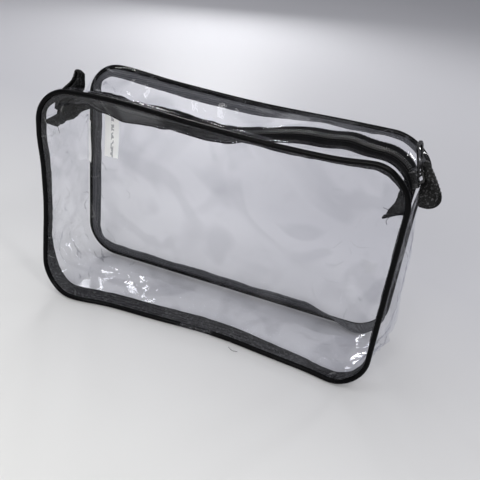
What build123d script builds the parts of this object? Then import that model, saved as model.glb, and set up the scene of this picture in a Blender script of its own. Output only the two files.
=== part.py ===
from build123d import *
from math import cos, radians, sin
import os

os.makedirs("parts", exist_ok=True)

# A clear vinyl makeup bag: two flat panels with piped seams, a gusset all round, and a zipped top.
# +Z is up, +X points to the end where the zip closes, and -Y is the front.
# The origin is the middle of the base, on the surface that the bag stands on.

# ---------------------------------------------------------------- driving dimensions, mm
width = 270.0  # left seam to right seam
height = 172.0  # bottom seam to top seam
depth = 72.0  # front seam to rear seam
corner_radius = 26.0  # of the seams, seen from the front
sheet = 0.5  # clear vinyl
clearance = 0.3  # between pieces that don't touch

piping_radius = 2.0  # round bead along each seam
flange_width = 9.0  # flat web of the piping, caught in the seam
flange_thickness = 0.8
piping_joint_length = 26.0  # clear sleeve where the ends of the bead meet

binding_width = 10.0  # tape folded over the raw edges inside each seam
binding_thickness = 1.6

zip_sink = 4.0  # how far the zip lies below the tops of the seams
tape_half_width = 17.0  # middle of the zip to the edge of its tape
tape_thickness = 0.6
tape_lap = 3.5  # vinyl sewn over the edge of the tape
coil_width = 2.6  # one half of the chain
coil_height = 2.2
half_chain_gap = 0.6  # middle of the zip to each half of the chain

slider_angle = 24.0  # parked place, above the horizontal about the corner's centre
slider_length = 12.4
pull_lift = 10.0  # angle between the parked pull and the chain
pull_roll = 20.0  # how far the pull leans sideways in its loose bridge
pull_length = 24.5

webbing_width = 25.0
webbing_thickness = 3.2  # two layers and the air between them
right_tab_length = 20.0
right_tab_angle = 20.0  # above the horizontal
left_tab_sweep = 58.0  # how far the left tab follows the upper corner round

label_width = 13.5
label_height = 38.0
label_thickness = 0.4

# ---------------------------------------------------------------- places worked out from them
seam_y = depth / 2
seam_z = piping_radius + height / 2
top_z = height + 2 * piping_radius
gusset_half = seam_y - piping_radius - clearance
gusset_radius = corner_radius + piping_radius
corner_x = width / 2 - corner_radius
corner_z = piping_radius + height - corner_radius
side_x = width / 2 + piping_radius
mouth_half = corner_x - 0.5

tape_z = top_z - zip_sink
tape_radius = gusset_radius - zip_sink
lap_edge = tape_half_width - tape_lap

flange_back = sheet / 2 + flange_thickness
end_binding_half = seam_y - flange_back - binding_thickness - clearance
panel_inset = piping_radius + clearance
binding_inset = panel_inset + binding_width

sides = {"front": -1, "rear": 1}
ends = {"left": -1, "right": 1}


def seam_plane(side, inward=0.0):
    """The plane of one panel's seam, facing out of the bag, moved inward by the given depth."""
    origin = (0, side * (seam_y - inward), seam_z)
    return Plane(origin=origin, x_dir=(-side, 0, 0), z_dir=(0, side, 0))


def seam_outline(inset, mode=Mode.ADD):
    """The rounded outline that the seams follow, drawn smaller by the given inset."""
    RectangleRounded(width - 2 * inset, height - 2 * inset, corner_radius - inset, mode=mode)


# ---------------------------------------------------------------- panels, piping and bindings
for name, side in sides.items():
    with BuildPart() as panel:
        with BuildSketch(seam_plane(side)):
            seam_outline(panel_inset)
        extrude(amount=sheet / 2, both=True)
    panel.part.label = f"{name}_panel"
    export_step(panel.part, f"parts/{name}_panel.step")

    # One length of piping runs right round the panel: a bead outside, its web inside the seam.
    with BuildPart() as piping:
        with BuildLine(seam_plane(side)) as run:
            FilletPolyline(
                (piping_joint_length / 2, -height / 2),
                (width / 2, -height / 2),
                (width / 2, height / 2),
                (-width / 2, height / 2),
                (-width / 2, -height / 2),
                (-piping_joint_length / 2, -height / 2),
                radius=corner_radius,
            )
        with BuildSketch(Plane(origin=run.line @ 0, z_dir=run.line % 0)):
            Circle(piping_radius)
        sweep(path=run.line)
        with BuildSketch(seam_plane(side, flange_back)):
            seam_outline(0)
            seam_outline(flange_width, mode=Mode.SUBTRACT)
            with Locations((0, -height / 2)):
                Rectangle(piping_joint_length, 3 * flange_width, mode=Mode.SUBTRACT)
        extrude(amount=flange_thickness)
    piping.part.label = f"{name}_piping"
    export_step(piping.part, f"parts/{name}_piping.step")

    with BuildPart() as joint:
        sleeve_start = Plane.YZ.offset(-piping_joint_length / 2)
        with BuildSketch(sleeve_start):
            with Locations((side * seam_y, piping_radius)):
                Circle(piping_radius)
                Circle(piping_radius / 2, mode=Mode.SUBTRACT)
        extrude(amount=piping_joint_length)
    joint.part.label = f"{name}_piping_joint"
    export_step(joint.part, f"parts/{name}_piping_joint.step")

    with BuildPart() as binding:
        with BuildSketch(seam_plane(side, flange_back + binding_thickness)):
            seam_outline(panel_inset)
            seam_outline(binding_inset, mode=Mode.SUBTRACT)
        extrude(amount=binding_thickness)
    binding.part.label = f"{name}_binding"
    export_step(binding.part, f"parts/{name}_binding.step")

# ---------------------------------------------------------------- side and base gusset
# One strip of vinyl runs down the left side, under the bag and up the right side.
with BuildPart() as gusset:
    with BuildSketch(seam_plane(-1, seam_y)):
        seam_outline(-piping_radius)
        seam_outline(sheet - piping_radius, mode=Mode.SUBTRACT)
        with Locations((0, height / 2)):
            Rectangle(2 * width, 2 * corner_radius, mode=Mode.SUBTRACT)
    extrude(amount=gusset_half, both=True)
gusset.part.label = "base_gusset"
export_step(gusset.part, "parts/base_gusset.step")

# Bound raw edges of the two seams where the gusset meets the zip strip.
for name, end in ends.items():
    with BuildPart() as end_binding:
        with BuildSketch(Plane.XY.offset(corner_z - binding_thickness - clearance)):
            with Locations((end * (side_x - sheet - binding_width / 2), 0)):
                Rectangle(binding_width, 2 * end_binding_half)
        extrude(amount=binding_thickness)
    end_binding.part.label = f"{name}_end_binding"
    export_step(end_binding.part, f"parts/{name}_end_binding.step")


# ---------------------------------------------------------------- zip strip: vinyl, tape and chain
def strip_section(side):
    """A top strip, cut across: it slopes from the seam to a flat lap on the zip tape."""
    bend = tape_half_width + sheet
    return [
        (side * gusset_half, top_z),
        (side * bend, tape_z + sheet),
        (side * lap_edge, tape_z + sheet),
        (side * lap_edge, tape_z),
        (side * bend, tape_z),
        (side * gusset_half, top_z - sheet),
    ]


def tape_section(side):
    """One half of the zip tape, cut across."""
    return [
        (side * half_chain_gap, tape_z),
        (side * tape_half_width, tape_z),
        (side * tape_half_width, tape_z - tape_thickness),
        (side * half_chain_gap, tape_z - tape_thickness),
    ]


def coil_section(side):
    """One half of the chain, cut across: a bar with its upper edges taken off."""
    inner = half_chain_gap
    outer = half_chain_gap + coil_width
    bevel = coil_height / 3
    crown = tape_z + coil_height
    return [
        (side * inner, tape_z),
        (side * outer, tape_z),
        (side * outer, crown - bevel),
        (side * (outer - bevel), crown),
        (side * (inner + bevel), crown),
        (side * inner, crown - bevel),
    ]


zip_layers = {"top_strip": strip_section, "zip_tape": tape_section, "zip_coil": coil_section}

for name, side in sides.items():
    for layer, section in zip_layers.items():
        # The stretch along the mouth lifts with its flap.
        with BuildPart() as straight:
            with BuildSketch(Plane.YZ.offset(-mouth_half)):
                with BuildLine():
                    Polyline(*section(side), close=True)
                make_face()
            extrude(amount=2 * mouth_half)
        straight.part.label = f"{name}_{layer}"
        export_step(straight.part, f"parts/{name}_{layer}.step")

        # The ends turn down round the upper corners to the end seams.
        with BuildPart() as turned:
            for end in ends.values():
                with BuildSketch(Plane.YZ.offset(end * corner_x)):
                    with BuildLine():
                        Polyline(*section(side), close=True)
                    make_face()
                turn_axis = Axis((end * corner_x, 0, corner_z), (0, end, 0))
                revolve(axis=turn_axis, revolution_arc=90)
        turned.part.label = f"{name}_{layer}_ends"
        export_step(turned.part, f"parts/{name}_{layer}_ends.step")

# ---------------------------------------------------------------- slider
# Its own directions: along the chain to the closed end, and outward from the corner's centre.
park = radians(slider_angle)
outward = Vector(cos(park), 0, sin(park))
to_closed_end = Vector(sin(park), 0, -cos(park))
right_corner = Vector(corner_x, 0, corner_z)
slider_origin = right_corner + outward * tape_radius
slider_plane = Plane(origin=slider_origin, x_dir=to_closed_end, z_dir=outward)
slider_side = Plane(origin=slider_origin, x_dir=to_closed_end, z_dir=(0, -1, 0))

nose_half_width = 4.9  # the end that meets the open halves of the chain
tail_half_width = 4.1
lower_plate = 3.2  # depth below the face of the tape
upper_plate = 4.3  # height above it
bridge_half_width = 1.0
bridge_top = 8.4
pin_height = 6.0
pin_setback = 1.2
pin_radius = 0.6

with BuildPart() as slider:
    with BuildSketch(slider_plane.offset(-lower_plate)) as plan:
        with BuildLine():
            Polyline(
                (-slider_length / 2, -tail_half_width),
                (slider_length / 6, -nose_half_width),
                (slider_length / 2, -nose_half_width + 1),
                (slider_length / 2, nose_half_width - 1),
                (slider_length / 6, nose_half_width),
                (-slider_length / 2, tail_half_width),
                close=True,
            )
        make_face()
        fillet(plan.vertices(), radius=0.9)
    extrude(amount=lower_plate + upper_plate)
    flat_edges = slider.edges().filter_by(Axis(slider_origin, outward), reverse=True)
    chamfer(flat_edges, length=0.35)

    # The channel curves with the corner, so that the slider runs round it.
    with BuildSketch(Plane.YZ.offset(corner_x)):
        channel_floor = tape_z - tape_thickness - clearance
        channel_roof = tape_z + coil_height + clearance
        channel_half = half_chain_gap + coil_width + clearance
        with Locations((0, (channel_floor + channel_roof) / 2)):
            Rectangle(2 * channel_half, channel_roof - channel_floor)
        slot_roof = tape_z + clearance
        with Locations((0, (channel_floor + slot_roof) / 2)):
            Rectangle(4 * nose_half_width, slot_roof - channel_floor)
    revolve(axis=Axis(right_corner, (0, 1, 0)), revolution_arc=90, mode=Mode.SUBTRACT)

    # A thin wedge at the nose joins the two plates and parts the chain.
    with BuildSketch(slider_plane.offset(-lower_plate / 2)):
        with Locations((slider_length / 4, 0)):
            Rectangle(3.6, half_chain_gap)
    extrude(amount=(lower_plate + upper_plate) * 0.6)

    # The bridge holds the pull's pin.
    with BuildSketch(slider_side) as arch:
        with BuildLine():
            Polyline(
                (-4.8, upper_plate - 0.4),
                (-4.2, bridge_top - 0.6),
                (-3.2, bridge_top),
                (2.2, bridge_top),
                (3.6, bridge_top - 0.6),
                (4.6, upper_plate - 0.4),
                close=True,
            )
        make_face()
        with BuildLine():
            Polyline(
                (-3.5, upper_plate),
                (-3.2, bridge_top - 1.1),
                (2.2, bridge_top - 1.1),
                (3.2, upper_plate),
                close=True,
            )
        make_face(mode=Mode.SUBTRACT)
    extrude(amount=bridge_half_width, both=True)
slider.part.label = "slider_body"
export_step(slider.part, "parts/slider_body.step")

# ---------------------------------------------------------------- pull
# A flat tag with a long oval hole, swinging on a pin under the slider's bridge.
lean = park + radians(90 - pull_lift)
roll = radians(pull_roll)
pull_along = Vector(cos(lean), 0, sin(lean))
pull_up = Vector(sin(lean), 0, -cos(lean))
pin_line = Vector(0, cos(roll), 0) + pull_up * sin(roll)
pull_normal = pull_up * cos(roll) - Vector(0, sin(roll), 0)
pin_centre = slider_origin + outward * pin_height - to_closed_end * pin_setback
pull_plane = Plane(origin=pin_centre, x_dir=pull_along, z_dir=pull_normal)

pull_thickness = 1.4
pull_tip_radius = 3.9
eye_half_width = 1.8
arm_half_width = 3.1
eye_length = 4.9

with BuildPart() as pull:
    with BuildSketch(pull_plane) as tag:
        with Locations((pull_length - pull_tip_radius, 0)):
            Circle(pull_tip_radius)
        with Locations((eye_length / 2, 0)):
            Rectangle(eye_length + 2 * pin_radius, 2 * arm_half_width)
        make_hull()
        with Locations((eye_length / 2 + pin_radius / 2, 0)):
            Rectangle(eye_length - pin_radius, 2 * eye_half_width, mode=Mode.SUBTRACT)
        with Locations((pull_length - 8.4, 0)):
            SlotOverall(11.5, 4.6, mode=Mode.SUBTRACT)
    extrude(amount=pull_thickness / 2, both=True)
    flat_edges = pull.edges().filter_by(Axis(pin_centre, pull_normal), reverse=True)
    chamfer(flat_edges, length=0.25)
    with BuildSketch(Plane(origin=pin_centre - pin_line * arm_half_width, z_dir=pin_line)):
        Circle(pin_radius)
    extrude(amount=2 * arm_half_width)
pull.part.label = "slider_pull"
export_step(pull.part, "parts/slider_pull.step")

# ---------------------------------------------------------------- webbing tabs
# Each is a folded loop sewn into an end seam. Its root is round, about the line that it bends on.
tab_root_radius = gusset_radius + webbing_thickness / 2 + 0.4

with BuildPart() as left_tab:
    with BuildSketch(Plane.XZ):
        with BuildLine():
            left_bend = CenterArc((-corner_x, corner_z), tab_root_radius, 180, -left_tab_sweep)
        SlotArc(left_bend, webbing_thickness)
    extrude(amount=webbing_width / 2, both=True)
left_tab.part.label = "left_tab"
export_step(left_tab.part, "parts/left_tab.step")

with BuildPart() as right_tab:
    root = Vector(corner_x + tab_root_radius, 0, corner_z)
    tilt = radians(right_tab_angle)
    tab_direction = Vector(cos(tilt), 0, sin(tilt))
    middle = root + tab_direction * (right_tab_length / 2)
    with BuildSketch(Plane(origin=middle, x_dir=tab_direction, z_dir=(0, -1, 0))):
        SlotCenterToCenter(right_tab_length, webbing_thickness)
    extrude(amount=webbing_width / 2, both=True)
right_tab.part.label = "right_tab"
export_step(right_tab.part, "parts/right_tab.step")

# ---------------------------------------------------------------- care label
# A folded ribbon sewn into the rear left seam: one leaf on the rear panel, one on the gusset.
label_z = 97.0
label_x = binding_inset - width / 2 + 0.5
label_front = seam_y - sheet / 2 - clearance - label_thickness

with BuildPart() as leaf:
    with BuildSketch(Plane.XY.offset(label_z)):
        with Locations((label_x + label_width / 2, label_front + label_thickness / 2)):
            Rectangle(label_width, label_thickness)
    extrude(amount=label_height)
leaf.part.label = "care_label"
export_step(leaf.part, "parts/care_label.step")

side_leaf_width = 7.0
side_leaf_drop = 7.0

with BuildPart() as side_leaf:
    leaf_x = -side_x + sheet + label_thickness / 2
    leaf_y = gusset_half - 1 - side_leaf_width / 2
    with BuildSketch(Plane.XY.offset(label_z - side_leaf_drop)):
        with Locations((leaf_x, leaf_y)):
            Rectangle(label_thickness, side_leaf_width)
    extrude(amount=label_height)
side_leaf.part.label = "care_label_side_leaf"
export_step(side_leaf.part, "parts/care_label_side_leaf.step")
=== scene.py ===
import math

import bpy
import numpy as np
from mathutils import Matrix, Vector, noise


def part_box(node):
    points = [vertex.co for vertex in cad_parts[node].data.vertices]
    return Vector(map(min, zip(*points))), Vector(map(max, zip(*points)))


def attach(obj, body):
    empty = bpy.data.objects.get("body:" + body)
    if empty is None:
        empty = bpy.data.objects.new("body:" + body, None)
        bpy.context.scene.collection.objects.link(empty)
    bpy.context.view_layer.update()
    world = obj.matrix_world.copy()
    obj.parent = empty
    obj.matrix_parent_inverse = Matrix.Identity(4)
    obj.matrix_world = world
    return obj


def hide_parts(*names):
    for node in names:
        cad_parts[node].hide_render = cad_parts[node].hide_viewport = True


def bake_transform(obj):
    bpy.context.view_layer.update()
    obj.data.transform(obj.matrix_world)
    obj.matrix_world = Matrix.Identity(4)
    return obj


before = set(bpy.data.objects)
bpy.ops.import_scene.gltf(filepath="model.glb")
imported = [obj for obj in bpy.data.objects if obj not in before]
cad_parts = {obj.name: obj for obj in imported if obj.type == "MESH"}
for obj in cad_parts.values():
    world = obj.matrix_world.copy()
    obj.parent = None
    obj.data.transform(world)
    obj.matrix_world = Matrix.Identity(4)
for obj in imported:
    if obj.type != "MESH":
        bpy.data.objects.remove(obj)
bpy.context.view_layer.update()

# Lengths below are in metres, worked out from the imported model's boxes.
MM = 0.001
FRONT, REAR = -1, 1

piping_low, piping_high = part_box("front_piping")
tape_low, tape_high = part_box("front_zip_tape")
gusset_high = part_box("base_gusset")[1]

bead = (piping_high.y - piping_low.y) / 2
seam_y = -(piping_low.y + bead)
half_width = piping_high.x - bead
seam_low = piping_low.z + bead
seam_high = piping_high.z - bead
corner_z = gusset_high.z
corner_radius = seam_high - corner_z
corner_x = half_width - corner_radius
gusset_half = gusset_high.y
tape_half = -tape_low.y
piping_joint_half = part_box("front_piping_joint")[1].x
middle_z = (seam_low + seam_high) / 2


# ------------------------------------------------------------------ small tools
def smooth(value, low, high):
    """0 below low, 1 above high, and a smooth step between."""
    t = np.clip((np.asarray(value, float) - low) / (high - low), 0, 1)
    return t * t * (3 - 2 * t)


def hump(value, centre, width):
    """A smooth hump of height 1."""
    return np.exp(-(((np.asarray(value, float) - centre) / width) ** 2))


def ripple(points, scale, seed):
    """Smooth noise from -1 to 1 at each point, for folds and wrinkles."""
    shift = Vector((seed * 7.3, seed * 3.1, seed * 5.7))
    flat = points.reshape(-1, 3)
    values = [noise.noise(Vector(p) / scale + shift) for p in flat]
    return np.array(values).reshape(points.shape[:-1])


def smooth_line(points, count):
    """A Catmull-Rom curve through points, as count points evenly spaced along it."""
    p = np.array(points, float)
    p = np.vstack([2 * p[0] - p[1], p, 2 * p[-1] - p[-2]])
    t = np.linspace(0, 1, 24, endpoint=False)[:, None]
    runs = []
    for a, b, c, d in zip(p[:-3], p[1:-2], p[2:-1], p[3:]):
        run = 2 * b + (c - a) * t + (2 * a - 5 * b + 4 * c - d) * t**2
        runs.append((run + (3 * b - a - 3 * c + d) * t**3) / 2)
    fine = np.vstack(runs + [p[-2:-1]])
    return evenly(fine, count)


def evenly(fine, count):
    """Count points evenly spaced along a finely divided line."""
    steps = np.linalg.norm(np.diff(fine, axis=0), axis=1)
    along = np.concatenate([[0], np.cumsum(steps)])
    wanted = np.linspace(0, along[-1], count)
    return np.stack([np.interp(wanted, along, fine[:, i]) for i in range(fine.shape[1])], 1)


def normals_of(line):
    """The unit normals of a line in the XZ plane, to its left as it runs."""
    along = np.gradient(line, axis=0)
    along /= np.linalg.norm(along, axis=1)[:, None]
    return np.stack([-along[:, 1], along[:, 0]], 1)


def new_object(name, points, faces, material):
    mesh = bpy.data.meshes.new(name)
    mesh.from_pydata([tuple(p) for p in points], [], faces)
    mesh.polygons.foreach_set("use_smooth", [True] * len(mesh.polygons))
    mesh.update()
    obj = bpy.data.objects.new(name, mesh)
    bpy.context.scene.collection.objects.link(obj)
    mesh.materials.append(material)
    return obj


def grid_faces(rows, columns, closed_rows=False, closed_columns=False, start=0):
    """Quads over a grid of points, row by row."""
    faces = []
    for i in range(rows if closed_rows else rows - 1):
        for j in range(columns if closed_columns else columns - 1):
            k, m = (i + 1) % rows, (j + 1) % columns
            faces.append([start + r * columns + c for r, c in ((i, j), (i, m), (k, m), (k, j))])
    return faces


def surface(name, grids, material):
    """Open sheets, each an array of points: rows, columns, xyz."""
    points, faces, start = [], [], 0
    for grid in grids:
        faces += grid_faces(*grid.shape[:2], start=start)
        points.append(grid.reshape(-1, 3))
        start += len(points[-1])
    return new_object(name, np.vstack(points), faces, material)


def band(name, runs, material):
    """Solids swept through rings of points and capped at both ends, as one object."""
    points, faces, start = [], [], 0
    for rings in runs:
        rows, columns, _ = rings.shape
        faces += grid_faces(rows, columns, closed_columns=True, start=start)
        faces.append([start + c for c in range(columns)][::-1])
        faces.append([start + (rows - 1) * columns + c for c in range(columns)])
        points.append(rings.reshape(-1, 3))
        start += rows * columns
    return new_object(name, np.vstack(points), faces, material)


def tubes(name, lines, radius, material, sides=6):
    """Round threads along several lines of points, as one object."""
    points, faces = [], []
    turn = np.linspace(0, 2 * math.pi, sides, endpoint=False)
    for line in lines:
        line = np.asarray(line, float)
        along = np.gradient(line, axis=0)
        along /= np.linalg.norm(along, axis=1)[:, None]
        guide = np.array([0.31, 0.87, 0.38])
        across = np.cross(along, guide)
        across /= np.linalg.norm(across, axis=1)[:, None]
        up = np.cross(along, across)
        ring = across[:, None] * np.cos(turn)[None, :, None] + up[:, None] * np.sin(turn)[None, :, None]
        start = sum(len(p) for p in points)
        points.append((line[:, None] + radius * ring).reshape(-1, 3))
        faces += grid_faces(len(line), sides, closed_columns=True, start=start)
        faces.append([start + c for c in range(sides)][::-1])
        faces.append([start + (len(line) - 1) * sides + c for c in range(sides)])
    return new_object(name, np.vstack(points), faces, material)


def put(obj, body, slot, *nodes):
    """Rides on a body and stands for the CAD nodes named, which it hides. The slot argument is not used."""
    if body:
        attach(obj, body)
    if nodes:
        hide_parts(*nodes)
    return obj


# ------------------------------------------------------------------ materials
class Nodes:
    """A material's node tree, with short calls to add and join nodes."""

    def __init__(self, name):
        self.material = bpy.data.materials.new(name)
        self.material.use_nodes = True
        self.tree = self.material.node_tree
        self.tree.nodes.clear()
        self.output = self.tree.nodes.new("ShaderNodeOutputMaterial")

    def add(self, kind, **inputs):
        node = self.tree.nodes.new("ShaderNode" + kind)
        for key, value in inputs.items():
            self.feed(node, key.replace("_", " "), value)
        return node

    def feed(self, node, key, value):
        if isinstance(value, bpy.types.NodeSocket):
            self.tree.links.new(value, node.inputs[key])
        else:
            node.inputs[key].default_value = value

    def place(self):
        return self.add("TexCoord").outputs["Object"]

    def speckle(self, scale, detail=4.0, roughness=0.6, vector=None):
        where = self.place() if vector is None else vector
        texture = self.add("TexNoise", Vector=where, Scale=scale, Detail=detail, Roughness=roughness)
        return texture.outputs["Fac"]

    def ramp(self, value, low, high, start=0.0, end=1.0):
        node = self.add("MapRange", Value=value)
        for key, number in (("From Min", start), ("From Max", end), ("To Min", low), ("To Max", high)):
            node.inputs[key].default_value = number
        return node.outputs["Result"]

    def maths(self, operation, a, b):
        node = self.tree.nodes.new("ShaderNodeMath")
        node.operation = operation
        self.feed(node, 0, a)
        self.feed(node, 1, b)
        return node.outputs[0]

    def mix_colour(self, factor, under, over):
        """A colour between two, each a tuple or another node's colour."""
        node = self.tree.nodes.new("ShaderNodeMix")
        node.data_type = "RGBA"
        self.feed(node, 0, factor)
        for key, colour in ((6, under), (7, over)):
            self.feed(node, key, (*colour, 1) if isinstance(colour, tuple) else colour)
        return node.outputs[2]

    def bump(self, height, strength, distance):
        node = self.add("Bump", Height=height, Strength=strength, Distance=distance)
        return node.outputs["Normal"]

    def finish(self, shader):
        self.tree.links.new(shader, self.output.inputs["Surface"])
        return self.material


def clear_vinyl(name, shine=0.02, haze=0.01, rough=0.06):
    """Thin clear film: mostly see-through, with a glossy face and crumpled ends. Its see-through colour is
    painted darker in streaky patches, as painted reflection of an uneven room, and along crease lines, as
    painted shade; crease lines also mirror more, as a painted highlight.
    Shine is the share of light that its face mirrors, and haze is how much that varies."""
    n = Nodes(name)
    place = n.place()
    away = n.maths("ABSOLUTE", n.add("SeparateXYZ", Vector=place).outputs[0], 0)
    ends = n.ramp(away, 0.12, 1.0, 70 * MM, 130 * MM)
    wide = n.speckle(26, detail=2)
    fine = n.speckle(110, detail=3)
    facets = n.add("TexVoronoi", Vector=place, Scale=42.0, Randomness=1.0).outputs["Distance"]
    height = n.maths("ADD", wide, n.maths("MULTIPLY", fine, 0.15))
    height = n.maths("ADD", height, n.maths("MULTIPLY", n.maths("MULTIPLY", facets, ends), 0.8))
    normal = n.bump(height, 0.85, 3.0 * MM)
    face = n.add("BsdfPrincipled", Normal=normal, Roughness=rough, Metallic=1.0)
    n.feed(face, "Base Color", (0.95, 0.955, 0.98, 1))

    # Crease lines run where a noise passes its middle value: painted shade darkens the film along them, and
    # a painted highlight makes them mirror more. Patches are painted reflection: darker streaks that stand
    # in for the uneven room the film mirrors.
    line = n.maths("ABSOLUTE", n.maths("SUBTRACT", n.speckle(34, detail=1), 0.5), 0)
    line = n.ramp(line, 1.0, 0.0, 0.0, 0.014)
    broken = n.ramp(n.speckle(60, detail=1), 0.0, 1.0, 0.5, 0.6)
    crease_shade_and_glint = n.maths("MULTIPLY", n.maths("MULTIPLY", line, broken), ends)
    streaks = n.add("TexNoise", Vector=place, Scale=14.0, Detail=1.5, Distortion=1.6).outputs["Fac"]
    painted_reflection_patch = n.ramp(streaks, 0.0, 1.0, 0.5, 0.6)
    painted_shade_mask = n.maths("MAXIMUM", n.maths("MULTIPLY", crease_shade_and_glint, 0.9), n.maths("MULTIPLY", painted_reflection_patch, 0.36))
    film = n.add("BsdfTransparent")
    # The darker second colour is painted shade and painted reflection, mixed in along crease lines and in
    # streaky patches.
    clear, painted_shade_tint = (0.955, 0.957, 0.972), (0.70, 0.70, 0.73)
    n.feed(film, "Color", n.mix_colour(painted_shade_mask, clear, painted_shade_tint))
    cover = n.ramp(n.speckle(16, detail=2), shine - haze, shine + haze, 0.47, 0.53)
    # Painted highlight: crease lines mirror a larger share of light.
    cover = n.maths("ADD", cover, n.maths("MULTIPLY", crease_shade_and_glint, 0.2))
    mixed = n.add("MixShader", Fac=cover)
    n.tree.links.new(film.outputs[0], mixed.inputs[1])
    n.tree.links.new(face.outputs[0], mixed.inputs[2])
    return n.finish(mixed.outputs[0])


def black_vinyl():
    """Glossy extruded bead, slightly matte and dusty in places."""
    n = Nodes("black_vinyl")
    dust = n.speckle(60)
    colour = n.mix_colour(n.ramp(dust, 0, 1, 0.55, 0.8), (0.0008, 0.0008, 0.001), (0.003, 0.003, 0.0035))
    rough = n.ramp(n.speckle(35), 0.16, 0.34, 0.3, 0.7)
    normal = n.bump(n.speckle(300, detail=2), 0.12, 0.3 * MM)
    face = n.add("BsdfPrincipled", Roughness=rough, Normal=normal)
    n.feed(face, "Base Color", colour)
    face.inputs["Specular IOR Level"].default_value = 0.07
    return n.finish(face.outputs[0])


def woven(name, dark, light, pitch, depth, rough=0.75, fluff=0.0, shine=0.05, lint=950):
    """Woven tape: two crossed sets of yarns, uneven in tone."""
    n = Nodes(name)
    where = n.place()
    heights = []
    for direction in ("X", "Y", "Z"):
        wave = n.add("TexWave", Vector=where, Scale=2 * math.pi / pitch / 20, Distortion=1.2, Detail=1.0)
        wave.wave_type = "BANDS"
        wave.bands_direction = direction
        heights.append(wave.outputs["Fac"])
    cloth = n.maths("MULTIPLY", n.maths("ADD", heights[0], heights[1]), 0.5)
    cloth = n.maths("MULTIPLY", cloth, n.maths("ADD", heights[2], 0.3))
    tone = n.maths("MULTIPLY", cloth, n.ramp(n.speckle(90), 0.4, 1.3))
    face = n.add("BsdfPrincipled", Roughness=rough, Normal=n.bump(cloth, 0.8, depth))
    colour = n.mix_colour(tone, dark, light)
    if fluff:
        # Specks of lint and frayed yarn catch the light. Fine lint is sparser than coarse.
        cutoff = 0.6 if lint < 900 else 0.64
        specks = n.maths("GREATER_THAN", n.speckle(lint, detail=1), cutoff)
        colour = n.mix_colour(n.maths("MULTIPLY", specks, fluff), colour, (0.5, 0.5, 0.52))
    n.feed(face, "Base Color", colour)
    face.inputs["Specular IOR Level"].default_value = shine
    return n.finish(face.outputs[0])


def plain(name, dark, light, rough, scale=80, bump=0.2, metal=0.0, shine=0.3):
    """One colour with a fine grain in tone, roughness and relief."""
    n = Nodes(name)
    grain = n.speckle(scale)
    face = n.add("BsdfPrincipled", Normal=n.bump(n.speckle(scale * 6), bump, 0.15 * MM))
    n.feed(face, "Base Color", n.mix_colour(grain, dark, light))
    n.feed(face, "Roughness", n.ramp(grain, rough * 0.75, rough * 1.25, 0.3, 0.7))
    face.inputs["Metallic"].default_value = metal
    face.inputs["Specular IOR Level"].default_value = shine
    return n.finish(face.outputs[0])


vinyl = clear_vinyl("clear_vinyl")
strip_vinyl = clear_vinyl("clear_vinyl_strip", shine=0.045, haze=0.03)
end_vinyl = clear_vinyl("clear_vinyl_gusset", shine=0.075, haze=0.03)
piping_black = black_vinyl()
binding_cloth = woven(
    "binding_cloth", (0.0015, 0.0015, 0.002), (0.011, 0.0115, 0.014), 0.9 * MM, 0.25 * MM, fluff=0.2
)
# The front and rear seam bindings are one cloth in two copies. The rear copy is painted lighter, as painted
# reflection for the light that the clear film in front of it mirrors.
front_binding_cloth = woven(
    "front_binding_cloth", (0.01, 0.01, 0.011), (0.055, 0.056, 0.061), 0.9 * MM, 0.25 * MM, fluff=0.08, lint=560
)
rear_binding_painted_reflection_cloth = woven(
    "rear_binding_painted_reflection_cloth", (0.03, 0.0305, 0.034), (0.14, 0.143, 0.156), 0.9 * MM, 0.25 * MM, fluff=0.16
)
tape_cloth = woven("tape_cloth", (0.001, 0.001, 0.0012), (0.006, 0.006, 0.0075), 0.8 * MM, 0.3 * MM)
webbing_cloth = woven(
    "webbing_cloth", (0.001, 0.001, 0.001), (0.012, 0.012, 0.012), 0.7 * MM, 0.3 * MM,
    rough=0.5, shine=0.2, fluff=0.1, lint=560,
)
coil_nylon = plain("coil_nylon", (0.004, 0.004, 0.0045), (0.012, 0.012, 0.013), 0.22, shine=1.0)
thread_black = plain("thread_black", (0.008, 0.008, 0.009), (0.03, 0.03, 0.033), 0.6, scale=900)
enamel = plain("black_enamel", (0.003, 0.003, 0.0035), (0.009, 0.009, 0.01), 0.28, scale=300, shine=0.8)
sleeve_vinyl = clear_vinyl("sleeve_vinyl", shine=0.012, haze=0.006, rough=0.4)


def label_ribbon():
    """White satin ribbon with faint grey bars in place of print."""
    n = Nodes("label_ribbon")
    where = n.add("SeparateXYZ", Vector=n.place())
    bars = n.add("TexWave", Scale=26.0, Distortion=6.0, Detail=2.0)
    bars.bands_direction = "Z"
    n.feed(bars, "Vector", n.place())
    low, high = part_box("care_label")
    centre = (low.x + high.x) / 2 + 0.5 * MM
    reach = n.maths("ABSOLUTE", n.maths("SUBTRACT", where.outputs[0], centre), 0)
    inside = n.maths("LESS_THAN", reach, 1.3 * MM)
    broken = n.maths("GREATER_THAN", n.speckle(420, detail=1), 0.5)
    print_tone = n.maths("MULTIPLY", n.maths("MULTIPLY", inside, broken), 0.75)
    face = n.add("BsdfPrincipled", Roughness=0.5, Normal=n.bump(bars.outputs["Fac"], 0.2, 0.1 * MM))
    n.feed(face, "Base Color", n.mix_colour(print_tone, (0.93, 0.93, 0.90), (0.25, 0.25, 0.27)))
    return n.finish(face.outputs[0])


label_cloth = label_ribbon()


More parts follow.
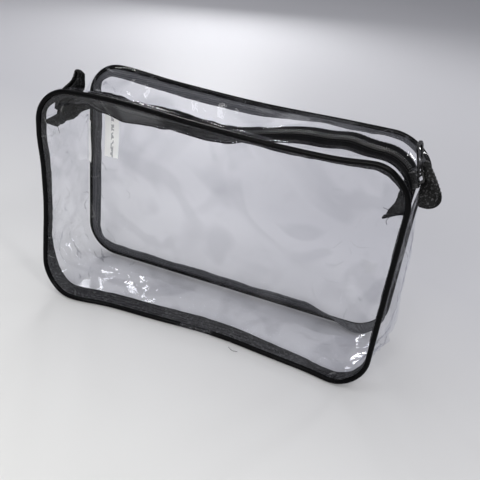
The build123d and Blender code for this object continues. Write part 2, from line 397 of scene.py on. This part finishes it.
# ------------------------------------------------------------------ how the soft bag has settled
def front_slump(x, z):
    """How far the front seam has moved from a point of its plain outline. The numbers inside are in mm."""
    x, z = x / MM, z / MM
    top, bottom = smooth(z, 88, 174), 1 - smooth(z, 2, 88)
    left = smooth(-x, 40, 135)
    dz = top * (3.6 * hump(x, -75, 48) + 3.0 * hump(x, 113, 20) - 0.8 * hump(x, 45, 35))
    dx = left * (1.4 * hump(z, 80, 30) - 2.4 * smooth(z, 110, 140))
    dy = bottom * (5.5 * hump(x, 15, 50) - 6.0 * hump(x, -108, 25) - 3.5 * hump(x, 118, 20))
    return np.stack([dx, dy, dz], -1) * MM


def rear_slump(x, z):
    """The same for the rear seam, whose upper right corner is pushed out."""
    x, z = x / MM, z / MM
    top, right = smooth(z, 88, 174), smooth(x, 60, 135)
    dz = top * (2.6 * hump(x, -105, 30) - 2.2 * hump(x, 10, 60))
    dx = right * (5.5 * hump(z, 150, 22) + 2.0 * (1 - smooth(z, 105, 150)))
    return np.stack([dx, 0 * dx, dz], -1) * MM


def slump(points):
    """The settled place of points of the seams and gusset. The middle, with the slider, stays put."""
    x, y, z = points[..., 0], points[..., 1], points[..., 2]
    to_front = smooth(-y, 2 * MM, 34 * MM)[..., None]
    to_rear = smooth(y, 2 * MM, 34 * MM)[..., None]
    return points + front_slump(x, z) * to_front + rear_slump(x, z) * to_rear


def outline(start, end, spacing=2.2 * MM):
    """Points and outward normals along the seam, between two shares of the way round from the middle of
    the base by way of the right."""
    quarter = np.linspace(-math.pi / 2, 0, 24)
    low = seam_low + corner_radius
    corners = [(corner_x, low), (corner_x, corner_z), (-corner_x, corner_z), (-corner_x, low)]
    runs = [[(0, seam_low)]]
    for turn, (cx, cz) in enumerate(corners):
        angle = quarter + turn * math.pi / 2
        runs.append(np.stack([np.cos(angle), np.sin(angle)], 1) * corner_radius + (cx, cz))
    runs.append([(0, seam_low)])
    fine = evenly(np.vstack(runs), 4001)
    line = fine[int(start * 4000) : int(end * 4000) + 1]
    line = evenly(line, max(2, int(len(line) / 4000 * seam_length / spacing)))
    return line, -normals_of(line)


seam_length = 4 * (corner_x + (corner_z - middle_z)) + 2 * math.pi * corner_radius
joint_share = piping_joint_half / seam_length


def seam_points(side, line, out, a, b):
    """Points beside a settled seam: a is out from its outline, b is into the bag."""
    base = np.stack([line[:, 0], np.full(len(line), side * seam_y), line[:, 1]], 1)
    ring = slump(base)
    ring[:, 0] += out[:, 0] * a
    ring[:, 2] += out[:, 1] * a
    ring[:, 1] -= side * b
    return ring


def seam_rings(side, section, start, end):
    """A section swept along one seam."""
    line, out = outline(start, end)
    return np.stack([seam_points(side, line, out, a, b) for a, b in section], 1)


def round_section(radius, sides=14):
    turn = np.linspace(0, 2 * math.pi, sides, endpoint=False)
    return [(radius * math.cos(t), radius * math.sin(t)) for t in turn]


def fin_lean(side, x, z):
    """The angle between a panel and the fin of its seam, which stands into the bag."""
    top = smooth(z, 150 * MM, 174 * MM)
    upright = smooth(z, 6 * MM, 50 * MM) * (1 - top)
    base = 1 - smooth(z, 6 * MM, 50 * MM)
    if side == FRONT:
        left, right = smooth(-x, 80 * MM, 130 * MM), smooth(x, 20 * MM, 120 * MM)
        return np.radians(68 + upright * (17 + 17 * left) - 12 * top + 30 * base * right)
    right = smooth(x, 70 * MM, 125 * MM) * (1 - top)
    return np.radians(14 + 6 * base + 80 * right + top * (50 + 30 * smooth(x, 5 * MM, 55 * MM)))


def fin_place(side, line, out, u, v):
    """Points of a fin: u is in from its root, and v is out from the middle of its thickness."""
    lean = fin_lean(side, line[:, 0], line[:, 1])
    a = -1.2 * MM - u * np.cos(lean) + v * np.sin(lean)
    return seam_points(side, line, out, a, 0.5 * MM + u * np.sin(lean) + v * np.cos(lean))


# ------------------------------------------------------------------ panels and gusset
def panel_half_width(z):
    """Half the panel's width at a height, less at its rounded corners."""
    drop = np.maximum(seam_low + corner_radius - z, z - corner_z)
    return corner_x + np.sqrt(np.maximum(corner_radius**2 - np.maximum(drop, 0) ** 2, 0))


def creased(points, size, seed):
    """Folds with sharp ridges of height 1 and rounder hollows between them."""
    return 1 - 3.2 * np.abs(ripple(points, size, seed)) ** 0.8


for side, name, seed in ((FRONT, "front", 4), (REAR, "rear", 9)):
    # A clear sheet in shallow waves, which turn to short creases near the seams.
    rows, columns = 110, 150
    turn = np.linspace(-math.pi / 2, math.pi / 2, rows)
    z = np.repeat((np.sin(turn) * (seam_high - seam_low) / 2 + middle_z)[:, None], columns, 1)
    x = np.linspace(-1, 1, columns)[None, :] * panel_half_width(z)
    flat = np.stack([x, np.full_like(x, side * seam_y), z], -1)
    gap = np.minimum(panel_half_width(z) - np.abs(x), np.minimum(seam_high - z, z - seam_low))
    inner, near = smooth(gap, 0, 32 * MM), smooth(gap, 0, 9 * MM)
    broad = ripple(flat, 90 * MM, seed)
    short = creased(flat * [1, 1, 0.5], 17 * MM, seed + 1) * (1 - inner) * near
    corner = smooth(np.abs(x), 70 * MM, 125 * MM) * smooth(np.abs(z - middle_z), 30 * MM, 75 * MM) * near
    pinched = creased(flat * [0.6, 1, 1], 12 * MM, seed + 2) * corner
    settled = slump(flat)
    waves = 1.6 * inner + 3.0 * broad * inner + 0.8 * short + 0.8 * pinched
    if side == REAR:
        # Flat behind the care label, which lies on it.
        beside = smooth(-x, 96 * MM, 106 * MM)
        waves *= 1 - 0.9 * beside * smooth(z, 86 * MM, 95 * MM) * (1 - smooth(z, 137 * MM, 146 * MM))
    settled[..., 1] -= side * waves * MM
    put(surface(f"{name}_vinyl_panel", [settled], vinyl), "root", "clear_vinyl", f"{name}_panel")

# The gusset bulges at the ends, and crumples where it turns the lower corners.
line, out = outline(0, 1)
first = int(np.argmin(np.hypot(line[:, 0] + half_width, line[:, 1] - corner_z)))
last = int(np.argmin(np.hypot(line[:, 0] - half_width, line[:, 1] - corner_z)))
order = list(range(first, len(line) - 1)) + list(range(0, last + 1))
line, out = line[order], out[order]
across = np.linspace(-gusset_half, gusset_half, 44)
x = (line[:, 0] + out[:, 0] * bead)[:, None] + 0 * across
z = (line[:, 1] + out[:, 1] * bead)[:, None] + 0 * across
flat = np.stack([x, across[None, :] + 0 * x, z], -1)
middle = 1 - (flat[..., 1] / gusset_half) ** 2
height = flat[..., 2]
upright = smooth(height, 4 * MM, 45 * MM) * (1 - smooth(height, 95 * MM, 135 * MM))
bulge = np.where(x > 0, 7.0, 3.0) * upright * middle
folds = creased(flat * [1, 0.7, 0.6], 19 * MM, 5) + 0.5 * creased(flat * [1, 1, 0.8], 8 * MM, 15)
folds = folds * middle * smooth(height, 1 * MM, 12 * MM)
at_ends = 1.1 * hump(height, 148 * MM, 35 * MM)
at_corners = 1.9 * hump(height, 20 * MM, 25 * MM) * smooth(np.abs(x), 70 * MM, 120 * MM)
folds *= (0.6 + at_ends + at_corners) * (1 - smooth(height, 143 * MM, 148 * MM))
# Folds stay low under the right tab, which bends down over them.
folds *= 1 - 0.7 * smooth(x, 100 * MM, 130 * MM) * smooth(height, 100 * MM, 125 * MM)
rise = (0.5 + 0.5 * ripple(flat, 30 * MM, 8)) * middle * (1 - smooth(height, 0, 10 * MM))
settled = slump(flat)
settled[..., 0] += out[:, :1] * (bulge + 1.9 * folds) * MM
settled[..., 2] += (1.5 * rise + np.maximum(out[:, 1:] * folds, 0)) * MM
put(surface("vinyl_gusset", [settled], end_vinyl), "root", "clear_vinyl", "base_gusset")


# ------------------------------------------------------------------ piping and bindings
def dashes(lines, length, gap, radius, material, name):
    """Rows of stitches along lines of points that are already closely spaced."""
    stitches = []
    for row in lines:
        steps = np.linalg.norm(np.diff(row, axis=0), axis=1)
        along = np.concatenate([[0], np.cumsum(steps)])
        for begin in np.arange(gap, along[-1] - length, length + gap):
            at = np.linspace(begin, begin + length, 4)
            stitch = np.stack([np.interp(at, along, row[:, i]) for i in range(3)], 1)
            stitches.append(stitch)
    return tubes(name, stitches, radius, material, sides=5)


for side, name in ((FRONT, "front"), (REAR, "rear")):
    line, out = outline(0, 1)
    runs = [seam_rings(side, round_section(bead), joint_share, 1 - joint_share)]
    # The bead's web runs in the seam, under the binding.
    web = [(0, 0.3), (5, 0.3), (5, -0.3), (0, -0.3)]
    runs.append(np.stack([fin_place(side, line, out, u * MM, v * MM) for u, v in web], 1))
    put(band(f"{name}_piping_bead", runs, piping_black), "root", "piping", f"{name}_piping")

    reach = joint_share * 1.15
    sleeve = [seam_rings(side, round_section(bead * 1.06), *ends) for ends in ((1 - reach, 1), (0, reach))]
    sleeve = band(f"{name}_piping_sleeve", [np.concatenate([sleeve[0], sleeve[1][1:]])], sleeve_vinyl)
    put(sleeve, "root", "joint_sleeve", f"{name}_piping_joint")
    core = round_section(bead * 0.93, 12)
    tails = [seam_rings(side, core, 0, joint_share), seam_rings(side, core, 1 - joint_share, 1)]
    put(band(f"{name}_piping_core", tails, binding_cloth), "root", "piping")

    # The binding is folded over the raw edges, and flutters a little along its free edge.
    face = [(0.2, 0.7), (4.5, 0.75), (9.2, 0.65), (9.9, 0.3)]
    fold = face + [(u, -v) for u, v in face[::-1]]
    seam = seam_points(side, line, out, 0, 0)
    flutter = ripple(seam, 21 * MM, 21 + side) + 0.4 * ripple(seam, 6 * MM, 25 + side)
    rings = [fin_place(side, line, out, u * MM, (v + 0.12 * u * flutter) * MM) for u, v in fold]
    # The rear binding takes the copy painted lighter as painted reflection.
    cloth = front_binding_cloth if side == FRONT else rear_binding_painted_reflection_cloth
    put(band(f"{name}_seam_binding", [np.stack(rings, 1)], cloth), "root", "binding", f"{name}_binding")
    rows = [fin_place(side, line, out, 7.8 * MM, (v + 0.94 * flutter) * MM) for v in (0.78, -0.78)]
    stitches = dashes(rows, 2.3 * MM, 0.7 * MM, 0.17 * MM, thread_black, f"{name}_binding_stitches")
    put(stitches, "root", "binding")

for end, name in ((-1, "left"), (1, "right")):
    # The end seam's binding, a fin with loose, frayed ends.
    low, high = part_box(f"{name}_end_binding")
    count = 60
    y = np.linspace(low.y - 1.8 * MM, high.y + 0.5 * MM, count)
    where = np.stack([y, y * 0, y * 0 + 0.01 * end], -1)
    sway, fray = ripple(where, 14 * MM, 31 + end), ripple(where, 2.2 * MM, 33 + end)
    near_front = smooth(-y, 14 * MM, 31 * MM)
    depth = (10.0 + 4.5 * near_front + (0.7 + 1.6 * near_front) * fray) * MM
    droop = (2.0 + 2.0 * sway + (3.0 if end > 0 else -3.0) * near_front) * MM
    top, reach = high.z + 0.2 * MM, np.linspace(0, 1, 8)
    outer = end * (half_width + 0.3 * MM)
    upper = np.stack([
        outer - end * depth[:, None] * reach,
        y[:, None] + 0 * reach,
        top - droop[:, None] * reach**1.6 + 0.5 * MM * np.sin(reach * 5 + sway[:, None]),
    ], -1)
    lower = upper - [0, 0, 1.2 * MM]
    rings = np.concatenate([upper, lower[:, ::-1]], 1)
    put(band(f"{name}_end_fin", [rings], binding_cloth), "root", "binding", f"{name}_end_binding")


# ------------------------------------------------------------------ zip
zip_radius = tape_high.z - corner_z
quarter_run = zip_radius * math.pi / 2
run_end = corner_x + quarter_run


def sag(s, y):
    """How far the zip stands above its plain line, in mm. Along the left half it hangs below it."""
    s, left_end = s / MM, -run_end / MM
    level = -15.5 * (1 - smooth(s, -15, 65)) * (1 - 0.2 * (1 - smooth(s, -109, -82)))
    level = level * smooth(s, left_end, left_end + 30)
    level = level + 2.4 * hump(s, 86, 11)
    level = level - 2.6 * hump(s, -72, 18) * smooth(-y, 0, tape_half)
    level = level + 3.0 * hump(s, -50, 45) * smooth(y, 0, tape_half)
    return level


def zip_place(s, y, radius):
    """Points of the bag's top: s along it, y across, and radius out from the corners' centres."""
    s, y, radius = np.broadcast_arrays(*(np.asarray(value, float) for value in (s, y, radius)))
    over = np.maximum(np.abs(s) - corner_x, 0) / zip_radius
    plain_x = np.sign(s) * (np.minimum(np.abs(s), corner_x) + radius * np.sin(over))
    plain_z = corner_z + radius * np.cos(over)
    plain_points = np.stack([plain_x, y, plain_z], -1)
    hang = 1 - smooth(np.abs(y), 16 * MM, 27 * MM)
    loose = smooth(-sag(s, y), 1, 12)
    wave = ripple(np.stack([s, 0.3 * y, 0 * s], -1), 8.5 * MM, 41) * 1.7
    wave = wave * loose * smooth(np.abs(y), 6 * MM, 17 * MM) * (1 - smooth(np.abs(y), 24 * MM, 32 * MM))
    pinch = ripple(plain_points, 13 * MM, 43) * 0.8 * smooth(np.abs(y), 18 * MM, 24 * MM)
    pinch = pinch * (1 - smooth(np.abs(y), 27 * MM, 33 * MM))
    offset = (sag(s, y) * hang + wave + pinch) * MM
    settled = slump(plain_points)
    settled[..., 0] += np.sign(s) * np.sin(over) * offset
    settled[..., 2] += np.cos(over) * offset
    return settled


spans = {
    "ends": [(-run_end, -corner_x), (corner_x, run_end)],
    "left": [(-corner_x, 0)],
    "right": [(0, corner_x)],
}


def stations(start, end, spacing=1.5 * MM):
    """Evenly spaced places along a run of the zip."""
    return np.linspace(start, end, max(3, int((end - start) / spacing)))


def place_span(obj, side, span, node):
    """The ends ride on the bag. The halves of the straight run keep their place in the world and ride on no
    body. The CAD node that the piece stands for is hidden."""
    name = "front" if side == FRONT else "rear"
    if span == "ends":
        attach(obj, "root")
    else:
        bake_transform(obj)
    if node:
        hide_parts(f"{name}_{node}" + ("_ends" if span == "ends" else ""))


def cut_across(runs, section):
    """A closed section in (y, radius) swept along runs of the zip."""
    y, radius = (np.array(v)[None, :] for v in zip(*section))
    return [zip_place(stations(a, b, 1.6 * MM)[:, None], y, radius) for a, b in runs]


for side, name in ((FRONT, "front"), (REAR, "rear")):
    for span, runs in spans.items():
        grids = []
        for a, b in runs:
            s = stations(a, b)[:, None]
            reach = np.linspace(0, 1, 30)[None, :]
            y = side * (gusset_half + (14 * MM - gusset_half) * reach)
            radius = zip_radius + 0.5 * MM + 3.6 * MM * (1 - smooth(reach, 0.0, 0.8))
            grids.append(zip_place(s, y, radius))
        strip = surface(f"{name}_vinyl_strip_{span}", grids, strip_vinyl)
        place_span(strip, side, span, "top_strip")

        ys = np.linspace(0.6 * MM, tape_half, 9)
        section = [(side * y, zip_radius) for y in ys]
        section += [(side * y, zip_radius - 0.6 * MM) for y in ys[::-1]]
        tape = band(f"{name}_tape_{span}", cut_across(runs, section), tape_cloth)
        place_span(tape, side, span, "zip_tape")

        # One side of the spiral coil: each turn stands on the tape and hooks over the middle.
        pitch, turns = 1.6 * MM, []
        profile = [(3.3, 0.3), (3.25, 1.5), (2.6, 2.0), (0.6, 2.0), (-0.25, 1.5), (0.3, 0.8), (1.6, 0.5)]
        for a, b in runs:
            first, last = math.ceil(a / pitch - 0.5), math.floor(b / pitch - 0.5)
            for k in range(first, last + 1):
                s = (k + 0.5 + side * 0.25) * pitch + np.linspace(0, 0.3 * pitch, len(profile))
                ys = np.array([side * p * MM for p, _ in profile])
                turns.append(zip_place(s, ys, zip_radius + np.array([q * MM for _, q in profile])))
        coil = tubes(f"{name}_coil_{span}", turns, 0.42 * MM, coil_nylon, sides=6)
        place_span(coil, side, span, "zip_coil")

        rows = []
        for a, b in runs:
            s = stations(a, b)
            for y, lift in ((15.2 * MM, 0.75 * MM), (3.9 * MM, 0.25 * MM)):
                rows.append(zip_place(s, np.full_like(s, side * y), zip_radius + lift))
        sewing = dashes(rows, 2.2 * MM, 0.8 * MM, 0.17 * MM, thread_black, f"{name}_zip_stitches_{span}")
        place_span(sewing, side, span, None)


# ------------------------------------------------------------------ webbing tabs
def webbing(name, body, spine, across, width, layers_gap):
    """A doubled length of webbing along a spine, its two layers joined by a round fold at the tip."""
    tip_steps, across_steps = 7, 70
    width = np.broadcast_to(width, len(spine))
    width = np.concatenate([width, np.full(tip_steps, width[-1]), width[::-1]])[:, None, None]
    across = across / np.linalg.norm(across, axis=1)[:, None]
    along = np.gradient(spine, axis=0)
    along /= np.linalg.norm(along, axis=1)[:, None]
    normal = np.cross(along, across)
    normal /= np.linalg.norm(normal, axis=1)[:, None]
    count = len(spine)
    gap = layers_gap * (0.25 + 0.75 * np.sin(np.linspace(0.1, math.pi * 0.62, count)))[:, None]
    upper, lower = spine + normal * gap, spine - normal * gap
    round_tip = np.linspace(0.4, math.pi - 0.4, tip_steps)[:, None]
    tip = spine[-1] + gap[-1] * (along[-1] * np.sin(round_tip) + normal[-1] * np.cos(round_tip))
    path = np.vstack([upper, tip, lower[::-1]])
    cross = np.vstack([across, np.repeat(across[-1:], tip_steps, 0), across[::-1]])
    way = np.gradient(path, axis=0)
    way /= np.linalg.norm(way, axis=1)[:, None]
    face = np.cross(way, cross)
    face /= np.linalg.norm(face, axis=1)[:, None]
    share = np.concatenate([np.linspace(-1, 1, across_steps), np.linspace(1, -1, across_steps)])
    half = np.repeat([0.6 * MM, -0.6 * MM], across_steps)
    cup = 1 - share**2
    rings = path[:, None] + cross[:, None] * share[None, :, None] * width / 2
    rings += face[:, None] * (half + 0.7 * MM * cup)[None, :, None]
    # Coarse yarns pass over and under each other, nine across each face.
    steps = np.linalg.norm(np.diff(path, axis=0), axis=1)
    picks = np.concatenate([[0], np.cumsum(steps)]) / (2.6 * MM) * 2 * math.pi
    ribs = np.sin(share * math.pi * 9)[None, :] * np.cos(picks)[:, None]
    rings += face[:, None] * (ribs * np.sign(half)[None, :] * 0.38 * MM)[..., None]
    return put(band(f"{name}_loop", [rings], webbing_cloth), body, "webbing", name)


# The left tab stands up and curls over above the zip, its tip gathered narrow.
spine = [(-138.8, 148.4), (-137.0, 154.2), (-131.8, 161.8), (-126.2, 168.8), (-124.3, 177.4)]
spine = smooth_line(spine, 44) * MM
spine = np.stack([spine[:, 0], 0 * spine[:, 0], spine[:, 1]], 1)
share = np.linspace(0, 1, len(spine))
dip = 0.1 + 0.4 * share
across = np.stack([0 * dip, np.cos(dip), -np.sin(dip)], 1)
webbing("left_tab", "left_tab", spine, across, (23 - 13.5 * smooth(share, 0.45, 1.0)) * MM, 1.7 * MM)

# The right tab is twisted: its rear edge points up and its front edge outward.
spine = smooth_line([(138.8, 148.2), (142.8, 150.5), (144.8, 155.0), (144.2, 160.5)], 40) * MM
spine = np.stack([spine[:, 0], 0 * spine[:, 0], spine[:, 1]], 1)
turn = smooth(np.linspace(0, 1, len(spine)), -0.3, 0.9)[:, None]
across = np.array([0, 1, 0.15]) * (1 - turn) + np.array([-0.55, 0.5, 0.64]) * turn
webbing("right_tab", "right_tab", spine, across, 25 * MM, 1.5 * MM)


# ------------------------------------------------------------------ care label
low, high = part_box("care_label")
u, v = np.meshgrid(np.linspace(0, 1, 20), np.linspace(0, 1, 36))
curl = (0.9 * np.sin(u * 2.2) * hump(v, 0, 0.5) + 0.35 * np.sin(v * 7 + 1)) * MM
leaf = np.stack([
    low.x + (high.x - low.x) * u,
    (low.y + high.y) / 2 - curl,
    low.z + (high.z - low.z) * v + 0.6 * MM * u,
], -1)
care_leaf = put(surface("care_label_leaf", [leaf], label_cloth), "care_label", "label_ribbon", "care_label")
low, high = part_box("care_label_side_leaf")
curl = 0.4 * MM * (1 + np.sin(v * 6 + u * 2))
leaf = np.stack([
    high.x + (4.2 * MM + curl) * (1 - u),
    high.y - 4.4 * MM * (1 - u),
    low.z + (high.z - low.z) * v,
], -1)
put(surface("side_leaf", [leaf], label_cloth), "root", "label_ribbon", "care_label_side_leaf")


# ------------------------------------------------------------------ metal slider and loose threads
for node in ("slider_body", "slider_pull"):
    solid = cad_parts[node]
    solid.data.materials.clear()
    solid.data.materials.append(enamel)
    solid.data.polygons.foreach_set("use_smooth", [False] * len(solid.data.polygons))
    bevel = solid.modifiers.new("soft_edges", "BEVEL")
    bevel.width, bevel.segments, bevel.limit_method = 0.25 * MM, 2, "ANGLE"

# Thread ends at the frayed end seams, the top strip and the base, in mm.
loose = [
    [(-127, -30, 146), (-126, -28, 143), (-124, -29, 139)],
    [(129, -28, 145), (125, -29, 141), (123, -27, 136), (124, -26, 133)],
    [(128, -25, 145), (123, -24, 143), (119, -25, 144)],
    [(52, -34.5, 176), (55, -33, 179), (60, -33, 178)],
    [(31, -39, 1.5), (35, -41, 0.8), (39, -40, 0.6)],
]
thread_lines = [smooth_line(np.array(points) * MM, 16) for points in loose]
threads = tubes("loose_threads", thread_lines, 0.16 * MM, thread_black)
put(threads, "root", "binding")


# ------------------------------------------------------------------ floor, light and camera
def stage_material():
    """Pale paper, warm in front, painted darker and cooler towards the back and the right as painted shade,
    where the lamps' light falls off.
    """
    n = Nodes("pale_paper")
    where = n.add("SeparateXYZ", Vector=n.place())
    away = n.maths("ADD", where.outputs[1], n.maths("MULTIPLY", where.outputs[0], 0.35))
    # Painted shade: the paper turns darker and cooler with distance back and to the right.
    back = n.ramp(away, 0, 1, -0.3, 0.2)
    face = n.add("BsdfPrincipled", Roughness=0.55)
    n.feed(face, "Base Color", n.mix_colour(back, (0.77, 0.77, 0.745), (0.51, 0.51, 0.535)))
    face.inputs["Specular IOR Level"].default_value = 0.3
    return n.finish(face.outputs[0])


# A level floor that bends up to a wall well behind the bag: places as (y, z).
rows = [(-3.5, 0), (-1.5, 0), (0.5, 0), (2.3, 0), (2.8, 0.05), (3.2, 0.3), (3.4, 0.7), (3.5, 2.2)]
profile = smooth_line(rows, 90)
y, z = profile[:, 0], np.maximum(profile[:, 1], 0) - 0.4 * MM
sweep = np.stack([np.stack([np.full_like(y, x), y, z], 1) for x in np.linspace(-3.5, 3.5, 12)])
surface("backdrop", [sweep], stage_material())


def softbox(name, place, target, size, power, colour=(1, 1, 1)):
    data = bpy.data.lights.new(name, "AREA")
    data.shape, data.size, data.size_y = "RECTANGLE", size[0], size[1]
    data.energy, data.color = power, colour
    light = bpy.data.objects.new(name, data)
    bpy.context.scene.collection.objects.link(light)
    light.location = place
    light.rotation_euler = (Vector(target) - Vector(place)).to_track_quat("-Z", "Y").to_euler()


softbox("overhead", (-0.35, 0.0, 1.5), (0, 0, 0), (1.5, 1.5), 8.2, (0.97, 0.98, 1.0))
softbox("window", (0.12, -1.5, 1.0), (0.1, 0, 0.05), (1.0, 0.7), 17, (1.0, 0.99, 0.97))
softbox("lamp", (0.5, -0.35, 1.0), (0.05, 0, 0.05), (0.1, 0.16), 1.2, (1.0, 0.98, 0.95))
softbox("back_left", (-0.6, 0.85, 0.75), (0, 0, 0.05), (0.1, 0.2), 0.9, (1.0, 1.0, 1.0))
softbox("back_right", (0.65, 0.95, 0.45), (0, 0, 0.05), (0.12, 0.25), 1.6, (1.0, 1.0, 1.0))
softbox("back_low", (-0.4, 1.0, 0.32), (0.1, 0, 0.03), (0.25, 0.1), 2.4, (1.0, 1.0, 1.0))


def room():
    """Soft light from all round, in bright and dim patches that the glossy vinyl mirrors."""
    world = bpy.data.worlds.new("room")
    world.use_nodes = True
    tree = world.node_tree
    where = tree.nodes.new("ShaderNodeTexCoord").outputs["Generated"]
    patches = tree.nodes.new("ShaderNodeTexNoise")
    patches.inputs["Scale"].default_value = 2.2
    patches.inputs["Detail"].default_value = 1.5
    tree.links.new(where, patches.inputs["Vector"])
    level = tree.nodes.new("ShaderNodeMapRange")
    for key, value in (("From Min", 0.4), ("From Max", 0.62), ("To Min", 0.22), ("To Max", 0.6)):
        level.inputs[key].default_value = value
    tree.links.new(patches.outputs["Fac"], level.inputs["Value"])
    glow = tree.nodes["Background"]
    glow.inputs["Color"].default_value = (0.86, 0.865, 0.92, 1)
    tree.links.new(level.outputs["Result"], glow.inputs["Strength"])
    return world


bpy.context.scene.world = room()
bpy.context.scene.view_settings.view_transform = "Standard"
camera_data = bpy.data.cameras.new("camera")
camera_data.lens, camera_data.sensor_width = 50.39, 36
camera_data.shift_x, camera_data.shift_y = 0.0389, -0.0355
camera = bpy.data.objects.new("camera", camera_data)
bpy.context.scene.collection.objects.link(camera)
forward = Vector((-0.27324, 0.82454, -0.49545))
right = Vector((0.92619, 0.36462, 0.09602))
up = right.cross(forward)
camera.matrix_world = Matrix((right, up, -forward)).transposed().to_4x4()
camera.location = (0.1436, -0.4296, 0.3425)
bpy.context.scene.camera = camera
